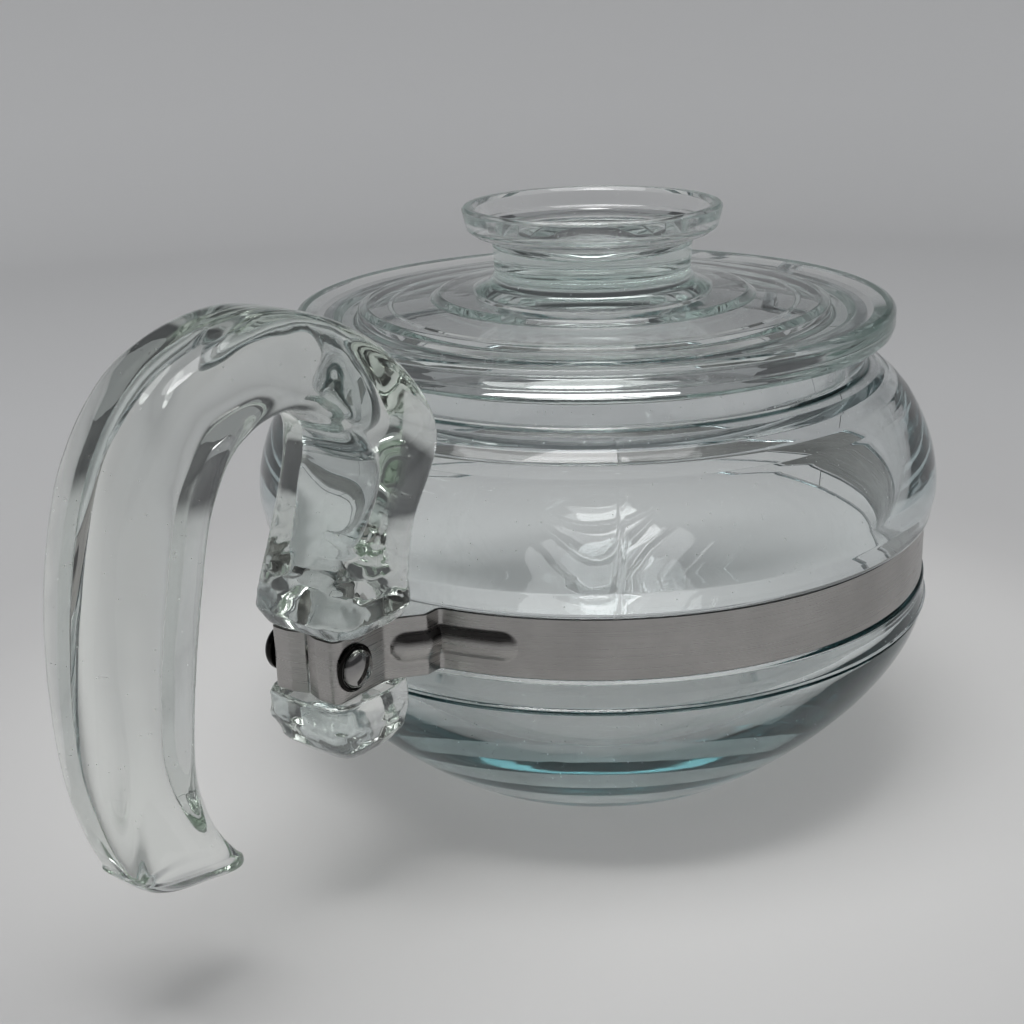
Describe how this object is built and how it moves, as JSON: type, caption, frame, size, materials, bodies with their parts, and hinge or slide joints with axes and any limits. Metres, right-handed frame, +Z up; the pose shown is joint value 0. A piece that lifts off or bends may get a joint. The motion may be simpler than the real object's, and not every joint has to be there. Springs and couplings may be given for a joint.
{
  "type": "glass teapot",
  "caption": "Squat clear glass teapot with a beak spout, a stepped lid with a dished knob, and an open glass hook handle clamped on by a steel strip.",
  "frame": {"origin": "centre of the flat base that the pot stands on", "axes": "+Z up along the pot's axis, +X towards the spout, -X towards the handle"},
  "size_m": [0.2363, 0.154, 0.1253],
  "materials": {
    "body_glass": "clear pressed glass with a faint blue tint, teal where it is thick",
    "lid_glass": "clear pressed glass with a faint grey-green tint",
    "handle_glass": "clear pressed glass with a faint warm grey-green tint",
    "band_steel": "satin stainless strip, brushed along its length",
    "screw_steel": "polished steel, darkened round the edge"
  },
  "bodies": {
    "pot": {"body_glass": "body_glass", "handle_glass": "handle_glass", "clamp_band": "band_steel", "clamp_nut": "screw_steel"},
    "lid": {"lid_glass": "lid_glass"},
    "screw": {"clamp_screw": "screw_steel"}
  },
  "joints": [
    {"name": "lid_lift", "type": "slide", "parent": "pot", "child": "lid", "axis": [0, 0, 1], "range_m": [0, 0.08]},
    {"name": "screw_turn", "type": "hinge", "parent": "pot", "child": "screw", "pos_m": [-0.0933, 0, 0.05115], "axis": [0, -1, 0], "continuous": true}
  ]
}
